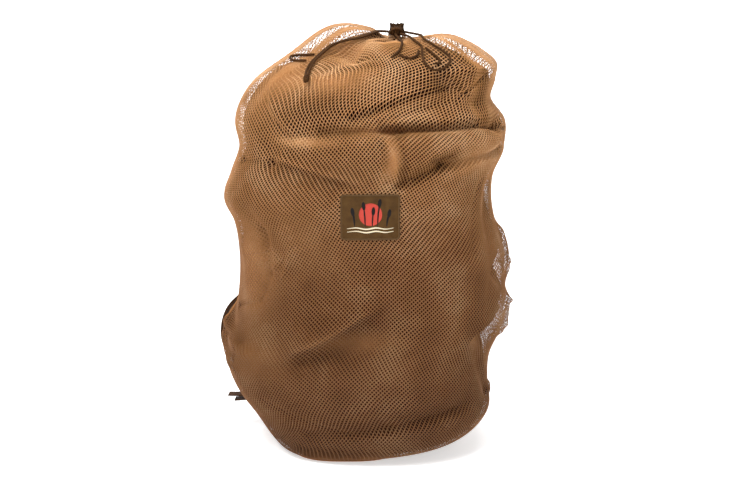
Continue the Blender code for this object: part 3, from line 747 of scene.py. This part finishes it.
def polyester_knit():
    """Warp-knitted polyester net, dyed light brown: matte filament yarn with a faint sheen, lighter and
    darker from one stretch to the next. Low down it is darker as painted shade, and high up at the back it
    is duller as painted shade over the top light."""
    material, tree, shader = new_material(
        "polyester_knit_net", Roughness=0.78, Sheen_Weight=0.05, Sheen_Roughness=0.5, Specular_IOR_Level=0.2
    )
    tone = shared(tree, object_noise(tree, 70), 0.62, object_noise(tree, 2.2, 1.0))
    colour = ramp(tree, tone, (0.3, "#9C6A36"), (0.5, "#B98350"), (0.72, "#DAAE80"))
    place = add(tree, "ShaderNodeSeparateXYZ", {0: object_place(tree)})
    # painted shade: the yarn is darkened low down, where less of the top light falls
    level = between(tree, place.outputs["Z"], 0.02, 0.66)
    painted_height_shade = ramp(tree, level, (0.0, "#A0958A"), (0.5, "#BEB4A9"), (1.0, "#FFFFFF"))
    colour = mix(tree, 1.0, colour, painted_height_shade, "MULTIPLY")
    # painted shade: high up at the back the yarn is mixed toward a duller tan, toning down the top light on
    # the rim
    behind = between(tree, place.outputs["Y"], -0.08, -0.01)
    painted_rim_shade = product(tree, behind, between(tree, place.outputs["Z"], 0.5, 0.7, 0.6))
    colour = mix(tree, painted_rim_shade, colour, linear("#9C7A5A"))
    colour_and_relief(tree, shader, colour, object_noise(tree, 0.35), 0.35, 0.3)
    return material


def load_with_painted_shade():
    """The load's surface behind the holes: matte dark brown, for the load and for the painted shade inside
    the sack, darker still high up as painted shade, and tan where its UV says that it is light, as painted
    light through the net and as net lying in layers."""
    material, tree, shader = new_material("load_with_painted_shade", Roughness=0.9, Specular_IOR_Level=0.1)
    # the load's dark brown, made darker as painted shade inside the sack
    dark = ramp(tree, object_noise(tree, 60), (0.35, "#200D02"), (0.6, "#2E1503"), (0.75, "#3E1E06"))
    # painted shade: darker high up, against the top light
    height = add(tree, "ShaderNodeSeparateXYZ", {0: object_place(tree)}).outputs["Z"]
    painted_height_shade = ramp(tree, between(tree, height, 0.45, 0.7), (0.0, "#FFFFFF"), (1.0, "#4A3828"))
    dark = mix(tree, 1.0, dark, painted_height_shade, "MULTIPLY")
    tone = add(tree, "ShaderNodeSeparateXYZ", {0: own_uv(tree)}).outputs["X"]
    # painted light: tan where the UV's tone asks for light through the net, and for net lying in layers
    tree.links.new(mix(tree, tone, dark, linear("#D69A64")), shader.inputs["Base Color"])
    return material


def woven_cord(name, low, middle, high):
    """Braided polyester cord: round strands at an angle to its length, matte with dark gaps."""
    material, tree, shader = new_material(name, Roughness=0.75, Specular_IOR_Level=0.12)
    strands = threads(tree, own_uv(tree), 0.45, "DIAGONAL", 1.5, 1.0)
    tone = shared(tree, strands, 0.5, object_noise(tree, 3))
    colour = ramp(tree, tone, (0.25, low), (0.5, middle), (0.8, high))
    colour_and_relief(tree, shader, colour, strands, 0.5, 0.4)
    return material


def webbing_weave():
    """Polypropylene webbing: a rib across the width every 1.6 mm, with a dull gloss."""
    material, tree, shader = new_material("polypropylene_webbing", Roughness=0.7, Specular_IOR_Level=0.12)
    place = own_uv(tree)
    height = product(tree, threads(tree, place, 0.2, "Y", 0.6, 1.0), threads(tree, place, 0.3, "X", 0.4))
    colour = ramp(tree, height, (0.0, "#341C0B"), (0.5, "#5C3B1B"), (1.0, "#7C532B"))
    colour_and_relief(tree, shader, colour, height, 0.7, 0.6)
    return material


def plain_weave(name, low, high, thread):
    """Plain woven cloth: two crossing families of threads, thread millimetres apart, in UV."""
    material, tree, shader = new_material(name, Roughness=0.85, Specular_IOR_Level=0.12)
    place = own_uv(tree)
    scale = 1 / (thread * math.pi)
    height = product(tree, threads(tree, place, scale, "X"), threads(tree, place, scale, "Y"))
    tone = shared(tree, object_noise(tree, 12), 0.6, height)
    colour_and_relief(tree, shader, ramp(tree, tone, (0.2, low), (0.8, high)), height, 0.6, 0.3)
    return material


def satin_thread(name, low, high):
    """Stitching thread: parallel filaments about 1 mm apart, with a soft gloss."""
    material, tree, shader = new_material(name, Roughness=0.6, Specular_IOR_Level=0.2)
    rows = threads(tree, object_place(tree), 320, "X", 0.5)
    colour_and_relief(tree, shader, ramp(tree, rows, (0.1, low), (0.7, high)), rows, 0.5, 0.3)
    return material


# The net
def panel_turns(first, last, ups):
    """The turn of each half column at each height. The columns lie evenly by arc length, and where the
    girth is much less than the cloth's width they keep their own width, with what is left over crowded
    into the gathers. One interpolation reads all rows, set end to end."""
    fine = np.linspace(first, last, TURN_SAMPLES)
    form = full_form(fine[None, :], ups[:, None])
    natural = np.linalg.norm(np.diff(form, axis=1), axis=2) / CELL_WIDTH
    total = natural.sum(axis=1, keepdims=True)
    middle = (fine[1:] + fine[:-1]) / 2
    lines = sum(share * bell((middle - turn) / width) for turn, width, share in GATHER_LINES)
    gathered = natural + np.maximum(PANEL_CELLS - total, 0) * lines / lines.sum()
    gathered *= PANEL_CELLS / gathered.sum(axis=1, keepdims=True)
    even = natural * PANEL_CELLS / total
    crowd = eased((1 - total / PANEL_CELLS - CROWD_FROM) / CROWD_RUN)
    count = np.cumsum(crowd * gathered + (1 - crowd) * even, axis=1)
    count = np.concatenate([np.zeros((len(ups), 1)), count], axis=1)
    rows = np.arange(len(ups))[:, None] * (PANEL_CELLS + 1)
    wanted = np.arange(2 * PANEL_CELLS + 1)[None, :] / 2
    turns = np.interp((rows + wanted).ravel(), (rows + count).ravel(),
                      np.broadcast_to(fine, count.shape).ravel())
    return turns.reshape(len(ups), -1)


def net_faces(keep):
    """Faces of a net of strands. The grid's every other point is a crossing and the rest are holes.
    Each crossing has five points: its ridge and, between its strands, the corners of the four holes
    round it. A strand has two roof faces outside and one flat face inside, and a face closes each
    crossing where a strand is missing."""
    rows, across = keep.shape
    crossing = (np.arange(rows)[:, None] + np.arange(across)[None, :]) % 2 == 0
    keep = keep & crossing
    index = np.arange(rows * across).reshape(rows, across) * 5
    right = keep[:-1, :-1] & keep[1:, 1:]
    left = keep[:-1, 1:] & keep[1:, :-1]
    ridge, up, west, down, east = range(5)
    a, b = index[:-1, :-1][right], index[1:, 1:][right]
    quads = [
        side_by_side(a + ridge, b + ridge, b + west, a + up),
        side_by_side(a + ridge, a + east, b + down, b + ridge),
        side_by_side(a + up, b + west, b + down, a + east),
    ]
    a, b = index[:-1, 1:][left], index[1:, :-1][left]
    quads += [
        side_by_side(a + ridge, a + up, b + east, b + ridge),
        side_by_side(a + ridge, b + ridge, b + down, a + west),
        side_by_side(a + west, b + down, b + east, a + up),
    ]
    strands = np.zeros((4, rows, across), bool)
    strands[0, :-1, :-1], strands[2, 1:, 1:] = right, right
    strands[1, :-1, 1:], strands[3, 1:, :-1] = left, left
    code = sum(strands[k].astype(int) << k for k in range(4))
    triangles = []
    for mask in range(1, 16):
        nodes = index[code == mask]
        has = [mask >> k & 1 for k in range(4)]
        used = [k for k in range(4) if has[k] or has[(k + 1) % 4]]
        inner = [nodes + 1 + k for k in reversed(used)]
        if len(used) > 2:
            (quads if len(used) == 4 else triangles).append(side_by_side(*inner))
        for one, other in zip(used, used[1:] + used[:1]):
            if (one + 1) % 4 != other or not has[other]:
                triangles.append(side_by_side(nodes, nodes + 1 + one, nodes + 1 + other))
    return np.concatenate(quads), np.concatenate(triangles)


def net_points(grid, closed):
    """The five points of each grid place: the ridge at the place itself, and corners towards the four
    neighbours, set in by the strands' height. A corner's share of the way to its neighbour is
    strand * diagonal / (2 * half width * half height), which keeps the strands' width. closed widens
    the strands by that share, and narrows and flattens them where it is below 0."""
    wide = np.pad(grid, ((1, 1), (1, 1), (0, 0)), mode="reflect", reflect_type="odd")
    north, south = wide[2:, 1:-1], wide[:-2, 1:-1]
    east, west = wide[1:-1, 2:], wide[1:-1, :-2]
    normal = unit(np.cross(east - west, north - south))
    half_wide = np.linalg.norm(east - west, axis=-1) / 2
    half_high = np.linalg.norm(north - south, axis=-1) / 2
    diagonal = np.hypot(half_wide, half_high)
    share = STRAND * (1 + closed) * diagonal / (2 * half_wide * half_high + 1e-6)
    share = np.clip(share, *STRAND_SHARES)[..., None]
    sunk = grid - normal * STRAND_HIGH * (1 + np.minimum(closed, 0))[..., None]
    corners = [sunk + (other - grid) * share for other in (north, west, south, east)]
    return np.stack([grid, *corners], axis=2).reshape(-1, 3)


NET_NODES = {
    (level, side): [f"net_{side}_{node}" for node in nodes]
    for side in ("front", "back")
    for level, nodes in (("low", ("low", "middle")), ("high", ("high",)))
}


def build_net_panels(net):
    """The two panels' nets, each in a lower and an upper piece."""
    fine = np.linspace(0, TOP, UP_SAMPLES)
    share = np.cumsum(1 / (1 + ROW_STRETCH * bell((fine - STRETCH_UP) / STRETCH_REACH)))
    ups = np.interp(np.linspace(share[0], share[-1], NET_ROWS + 1), share, fine)
    for side, first, last in (("front", -90, 90), ("back", 90, 270)):
        turns = panel_turns(first, last, ups)
        rows = np.broadcast_to(ups[:, None], turns.shape)
        turns = turns + TWIST * np.cos(np.radians(turns)) ** 2 * eased((rows - TWIST_FROM) / TWIST_RUN)
        tilt = ROW_TILT * bell((rows - TILT_UP) / TILT_REACH) * eased((TOP - rows) / CALM)
        arch = ROW_ARCH * eased(rows / ARCH_RUN) * eased((TOP - rows) / ARCH_RUN)
        double = 2 * np.radians(turns)
        rows = rows - tilt * np.sin(double) + arch * np.cos(double)
        points = net_points(creased(turns, rows, NET_LIFT), patches(OPENNESS, turns, rows))
        for level, low, high in (("low", 0, SPLIT_ROW), ("high", SPLIT_ROW, NET_ROWS)):
            keep = np.zeros(turns.shape, bool)
            keep[low:high + 1] = True
            name = f"net_{side}_{level}_strands"
            add_piece(name, points, net_faces(keep), net, NET_NODES[level, side])


def build_base(net):
    """The base's net, cut to the sack's lower edge."""
    half = CELL_WIDTH / 2
    edge = cloth(np.linspace(-180, 180, 181), 0)[:, :2]
    middle = (edge.max(axis=0) + edge.min(axis=0)) / 2
    x = np.arange(edge[:, 0].min(), edge[:, 0].max(), half)
    y = np.arange(edge[:, 1].max(), edge[:, 1].min(), -half)
    x, y = np.meshgrid(x, y)
    grid = side_by_side(x, y, np.full(x.shape, BASE_NET_UP))
    away = side_by_side(x, y) - middle
    edge_away = edge - middle
    angle = np.arctan2(edge_away[:, 1], edge_away[:, 0])
    order = np.argsort(angle)
    reach = np.interp(np.arctan2(away[..., 1], away[..., 0]), angle[order],
                      np.linalg.norm(edge_away, axis=1)[order], period=2 * math.pi)
    keep = np.linalg.norm(away, axis=-1) < reach - BASE_NET_INSIDE
    add_piece("base_net", net_points(grid, np.zeros(x.shape)), net_faces(keep), net, ["net_base"])


def build_load(dark):
    """The load's surface: the form set in from the net, deeper at the hollows, as a thin wall. Its UV
    holds how light it is painted, for light showing through the net and for net lying in layers."""
    turns = np.linspace(-180, 180, LOAD_COLUMNS, endpoint=False)
    turns, ups = np.meshgrid(turns, np.linspace(LOAD_FROM, TOP - LOAD_BELOW_TOP, LOAD_ROWS))
    inset = LOAD_INSET + patches(LOAD_HOLLOWS, turns, ups)
    inset = inset * eased((TOP - ups) / LOAD_NEARER_TOP) * eased((ups + 12) / LOAD_NEARER_FOOT)
    outer, inner = creased(turns, ups, -inset), creased(turns, ups, -inset - LOAD_THICK)
    points = np.concatenate([outer, inner[::-1]])
    # painted light through the thin net, and the tan of net lying in layers, as a tone in the UV
    tone = np.clip(patches(LOAD_LIGHT_AND_LAYER_TONES, turns, ups), 0, 1)
    tone = np.concatenate([tone, tone[::-1]])
    uv = side_by_side(tone, tone)
    quads = grid_faces(*points.shape[:2], ring=True, loop=True)
    add_piece("load_with_painted_shade", points.reshape(-1, 3), [quads], dark, (), uv.reshape(-1, 2))


# Cords and knots
def cord_path(name, route, step):
    """A stretch's middle line: out of the bow's knot where it starts there, and along the cloth."""
    rows = np.array(route, float)
    points = list(cloth(rows[:, 0], rows[:, 1], rows[:, 2] + CORD_LIFT))
    if name in KNOT_STARTS:
        points.insert(0, np.array(KNOT_STARTS[name], float))
    if name in KNOT_ENDS:
        points.append(np.array(KNOT_ENDS[name], float))
    return smooth_path(points, step)


def beside(points, distance):
    """A path moved level to its left by a distance."""
    left = np.cross((0, 0, 1), np.gradient(points, axis=0))
    return points + unit(left) * distance


def add_cord(name, path, material):
    """A braided cord along a path."""
    points, quads, uv, caps = braided_tube(path, CORD / 2)
    piece = add_piece(name + "_braid", points, [quads, caps], material, [name], uv)


def wound(centre, axes, half, cord):
    """A path wound round an egg: a helix whose radius follows sqrt(1 - 0.6 t^2) from end to end."""
    t = np.linspace(-1, 1, round(KNOT_WINDS * WIND_POINTS))
    angle = math.pi * KNOT_WINDS * t
    swell = np.sqrt(1 - 0.6 * t**2)
    local = side_by_side(np.cos(angle) * swell, np.sin(angle) * swell, t) * (np.array(half) - cord)
    return np.array(centre) + local @ np.array(axes, float)


def build_knots(material):
    """The bow's knot and the knot that joins the tails, as wound cord. Returns the tails' knot."""
    level = ((0, 1, 0), (0, 0, 1), (1, 0, 0))
    radius = CORD / 2
    winds = wound(BOW_AT, level, BOW_HALF, radius)
    across = np.array(BOW_AT) + smooth_path(BOW_ACROSS, KNOT_STEP)
    parts = [braided_tube(path, radius, KNOT_SIDES) for path in (winds, across)]
    add_parts("bow_knot_winding", parts, material, ["bow_knot"])
    tails = cord_path("drawcord_tails", TAIL_ROUTE, 2)
    ahead = unit(tails[-1] - tails[-5])
    across = unit(np.cross(ahead, (0, 0, 1)))
    centre = tails[-1] + ahead * (END_HALF[2] + 0.3)
    winds = wound(centre, (across, np.cross(ahead, across), ahead), END_HALF, radius * 0.8)
    core = smooth_path([centre - ahead * END_CORE_REACH, centre + ahead * END_CORE_REACH], KNOT_STEP)
    parts = [braided_tube(winds, radius * 0.9, KNOT_SIDES), braided_tube(core, END_CORE, KNOT_SIDES)]
    return add_parts("end_knot_winding", parts, material, ["end_knot"])


def build_cords(material, end_knot):
    """The drawcord's stretches."""
    tails = cord_path("drawcord_tails", TAIL_ROUTE, CORD_STEP)
    add_cord("drawcord_tail_front", beside(tails, TAIL_SPREAD), material)
    add_cord("drawcord_tail_back", beside(tails, -TAIL_SPREAD), material)
    for name, route in CORD_ROUTES.items():
        add_cord(name, cord_path(name, route, CORD_STEP), material)


# The hem. Columns: height above the neck, radius and pleat depth, up the outer face, over the rim and
# down the hole
HEM_LEVELS = (
    (0.4, 15.2, 0.8), (3.5, 14.4, 1.2), (7, 13.0, 1.4), (10, 11.6, 1.4), (13, 11.0, 1.6), (15, 11.0, 2.0),
    (17, 11.4, 2.4), (18, 11.0, 2.4), (17.6, 10.2, 2.0), (15, 9.6, 1.4), (12, 9.0, 1.0), (8, 8.4, 0.8),
    (0.4, 8.0, 0.5),
)


def build_hem(material):
    """The gathered hem: rings whose radius is waved by the cosines of three unlike pleats, with a rim
    that rises in two peaks."""
    levels = np.array(HEM_LEVELS)
    fine = through_points(np.arange(len(levels), dtype=float), levels, np.linspace(0, len(levels) - 1, 40))
    angle = all_round(144)
    pleats = 0.62 * np.cos(13 * angle) + 0.38 * np.cos(21 * angle + 1.1) + 0.2 * np.cos(5 * angle + 0.4)
    high, radius, depth = fine[:, 0:1], fine[:, 1:2], fine[:, 2:3]
    reach = radius + depth * pleats
    peaks = 2.2 * np.maximum(np.cos(angle - 0.5), -0.4) + 3.4 * np.maximum(-np.cos(angle), 0)
    rise = eased((high - 8) / 9) * (peaks + 0.8 * np.cos(9 * angle))
    x, y = MOUTH_X + reach * np.cos(angle), reach * np.sin(angle)
    points = side_by_side(x, y, NECK_TOP + high + rise).reshape(-1, 3)
    quads = grid_faces(len(fine), len(angle), ring=True, loop=True)
    uv = spread(angle * NECK_RADIUS, along_path(fine)).reshape(-1, 2)
    add_piece("hem_ruffle", points, [quads], material, ["gathered_hem"], uv)


# The patch
def patch_place(x, y, lift):
    """Points over the patch, x across and y up from its middle."""
    x, y = as_arrays(x, y)
    up = PATCH_UP + y
    return cloth(turn_at(x + PATCH_X, up), up, lift)


def build_patch(twill, border, cream, red, black):
    """The patch with its stitched edge and a plain marsh motif."""
    half_x, half_y = PATCH_WIDTH / 2 - 1, PATCH_HEIGHT / 2 - 1
    x, y = np.meshgrid(np.linspace(-half_x, half_x, 53), np.linspace(-half_y, half_y, 41))
    outer, inner = (patch_place(x, y, lift) for lift in PATCH_FACES)
    points, quads, uv = closed_sheet(outer, inner, side_by_side(x, y))
    add_piece("patch_twill", points, [quads], twill, ["patch"], uv)
    bows = []
    for number, (side_x, side_y) in enumerate(((1, 1), (-1, 1), (-1, -1), (1, -1))):
        angle = np.linspace(0, math.pi / 2, 7) + number * math.pi / 2
        x = side_x * (half_x - PATCH_CORNER) + PATCH_CORNER * np.cos(angle)
        y = side_y * (half_y - PATCH_CORNER) + PATCH_CORNER * np.sin(angle)
        bows.append(side_by_side(x, y))
    rim = np.concatenate([*bows, bows[0][:1]])
    places = np.arange(0, along_path(rim)[-1], STITCH_STEP)
    line = [np.interp(places, along_path(rim), rim[:, k]) for k in (0, 1)]
    points, quads, uv = ring_tube(patch_place(*line, EDGE_LIFT), EDGE_RADIUS, 10, 0.12, 1.6)
    add_piece("patch_edge", points, [quads], border, (), uv)
    build_motif(cream, red, black)


def blob(centre, half, lean=0.0, low=PATCH_FACES[0], thick=0.7):
    """A low oval cushion of stitches over the patch: a polar grid whose height follows thick times
    sqrt(1.02 - r^2)."""
    radius, angle = np.meshgrid(np.linspace(0.02, 1, 9), all_round(32), indexing="ij")
    x, y = half[0] * radius * np.cos(angle), half[1] * radius * np.sin(angle)
    cos, sin = math.cos(lean), math.sin(lean)
    x, y = centre[0] + x * cos - y * sin, centre[1] + x * sin + y * cos
    outer = patch_place(x, y, low + thick * np.sqrt(1.02 - radius**2))
    inner = patch_place(x, y, low - 0.3)
    flat = side_by_side(x, y)
    points, quads, uv = closed_sheet(outer, inner, flat, ring=True)
    points = np.concatenate([points, [outer[0].mean(axis=0), inner[0].mean(axis=0)]])
    uv = np.concatenate([uv, [flat[0].mean(axis=0)] * 2])
    count = flat.shape[0] * flat.shape[1]
    middle = np.arange(flat.shape[1])
    after = np.roll(middle, -1)
    top = np.full(len(middle), 2 * count)
    tips = [side_by_side(top, middle, after), side_by_side(top + 1, after + count, middle + count)]
    return points, quads[:, ::-1], uv, np.concatenate(tips)


def stroke(points, width):
    """A stitched line over the patch, as wide as width at its middle and thinner to its ends."""
    path = smooth_path(points, STITCH_STEP)
    share = np.linspace(0, 1, len(path))
    half = width / 2 * (0.35 + 0.65 * np.sin(math.pi * share))[:, None]
    ahead = unit(np.gradient(path, axis=0))
    left = side_by_side(-ahead[:, 1], ahead[:, 0])
    angle = all_round(8)
    flat = path[:, None] + np.cos(angle)[:, None] * half[:, None] * left[:, None]
    grid = patch_place(flat[..., 0], flat[..., 1], 1.75 + 0.55 * np.sin(angle))
    return capped(grid, flat, grid[[0, -1]].mean(axis=1), path[[0, -1]])


def build_motif(cream, red, black):
    """The patch's motif: a low red sun over cream ripples, with black reeds in front."""
    sun = [blob((0, 5), (20, 20), thick=0.3)]
    ripples = [stroke([(-40, -20 - 6 * k), (-24, -18.4 - 6 * k), (-8, -21 - 6 * k), (10, -18.6 - 6 * k),
                       (26, -20.8 - 6 * k), (40, -19 - 6 * k)], 2.6) for k in range(2)]
    reeds = []
    for x, high, lean in ((-27, 12, -4), (-9, 22, -3), (3, 13, 2), (12, 27, 4), (28, 9, 5)):
        reeds.append(stroke([(x, -16), (x + lean * 0.3, (high - 16) / 2), (x + lean, high)], 3.4))
        reeds.append(blob((x + lean * 0.9, high - 2), (3.2, 7.5), math.radians(-lean * 2), 2.1))
    for name, parts, material in (("patch_sun", sun, red), ("patch_ripples", ripples, cream),
                                  ("patch_reeds", reeds, black)):
        add_parts(name, parts, material)


# Straps
def band(route, width, thick, standing=False):
    """Webbing along a route: a rounded flat section, with selvedges a little thicker than the rest.
    Webbing that is standing out from the back lies level across."""
    turn, up, lift = np.array(route, float).T
    own = cloth(turn, up, lift)
    path = smooth_path(own, STRAP_STEP)
    along = along_path(path)
    normal = through_points(along_path(own), outward(turn, up), along / along[-1] * along_path(own)[-1])
    ahead = np.gradient(path, axis=0)
    across = unit(np.cross((0, 0, 1), normal) if standing else np.cross(ahead, normal))
    out = unit(np.cross(across, ahead))
    if standing or (out * (path - path.mean(axis=0))).sum() < 0:
        out = -out
    share = np.linspace(-1, 1, 15)
    selvedge = 0.12 * bell((np.abs(share) - 0.9) / 0.06)
    edge = 1 + selvedge - 0.55 * np.clip((np.abs(share) - 0.93) / 0.07, 0, 1)
    lift = (1 + np.concatenate([edge, -edge[::-1]])) * thick / 2
    aside = np.concatenate([share, share[::-1]]) * width / 2
    grid = path[:, None] + across[:, None] * aside[:, None] + out[:, None] * lift[:, None]
    tips = grid[[0, -1]].mean(axis=1)
    return capped(grid, spread(aside, along), tips, [[0, 0], [0, along[-1]]])


def build_straps(webbing):
    """The straps and the free ends of webbing."""
    for name, route in STRAPS.items():
        add_parts(name + "_webbing", [band(route, STRAP_WIDTH, STRAP_THICK)], webbing, [name])
    for name, route in STRAP_TAILS.items():
        parts = [band(route, TAIL_WIDTH, TAIL_THICK, standing=True)]
        add_parts(name + "_webbing", parts, webbing, [name])


# Seams
def build_seams(thread):
    """The binding along the base and the overlocked side seams."""
    path = creased(np.linspace(-180, 180, 720, endpoint=False), BASE_SEAM_UP, BASE_SEAM_LIFT)
    points, quads, uv = ring_tube(path, BASE_SEAM_RADIUS, 8, 0.15, 3.0)
    add_piece("base_seam", points, [quads], thread, (), uv)
    for name, turn in (("left_side_seam", -90), ("right_side_seam", 90)):
        path = creased(turn, np.linspace(3, TOP - SEAM_GAP, 380), SEAM_LIFT)
        add_parts(name, [braided_tube(path, SEAM_RADIUS, 8, 2, 4.0, 0.15)], thread)


# Floor and light
def build_studio():
    """A white floor, a white backdrop that glows behind it, and soft light mostly from above."""
    for name, (paper, glow, corners) in SHEETS.items():
        material = new_material(paper, Roughness=0.9, Specular_IOR_Level=0.1, Base_Color=PAPER,
                                Emission_Color=WHITE, Emission_Strength=glow)[0]
        mesh = bpy.data.meshes.new(name)
        mesh.from_pydata(np.array(corners) * SHEET_REACH * MM, [], [range(len(corners))])
        mesh.materials.append(material)
        placed(name, mesh)
    world = bpy.data.worlds.new("studio")
    world.use_nodes = True
    background = world.node_tree.nodes["Background"]
    background.inputs["Color"].default_value = WHITE
    background.inputs["Strength"].default_value = ROOM_LIGHT
    bpy.context.scene.world = world
    bpy.context.scene.view_settings.view_transform = "Standard"
    for name, (at, energy, size) in LAMPS.items():
        data = bpy.data.lights.new(name, "AREA")
        data.energy = energy
        data.size = size * MM
        x, y, z = np.array(LAMP_TARGET, float) - np.array(at)
        placed(name, data, at, (math.atan2(math.hypot(x, y), -z), 0, math.atan2(-x, y)))


def main():
    """Make everything, the camera and the cords first."""
    make_camera()
    braid = woven_cord("braided_polyester_cord", "#160A03", "#3A220C", "#5C3B18")
    build_cords(braid, build_knots(braid))
    net = polyester_knit()
    build_net_panels(net)
    build_base(net)
    build_load(load_with_painted_shade())
    build_hem(plain_weave("hem_cloth", "#2C1C0E", "#553A20", 0.9))
    build_patch(
        plain_weave("patch_twill", "#3E2A14", "#5C4222", 1.0),
        satin_thread("edge_thread", "#3E2A14", "#5C4222"),
        satin_thread("cream_thread", "#B8A888", "#E8DDC0"),
        satin_thread("red_thread", "#8E2A20", "#C8483A"),
        satin_thread("black_thread", "#060303", "#140D0A"),
    )
    build_straps(webbing_weave())
    build_seams(satin_thread("seam_thread", "#8A5426", "#B5793F"))
    build_studio()


main()
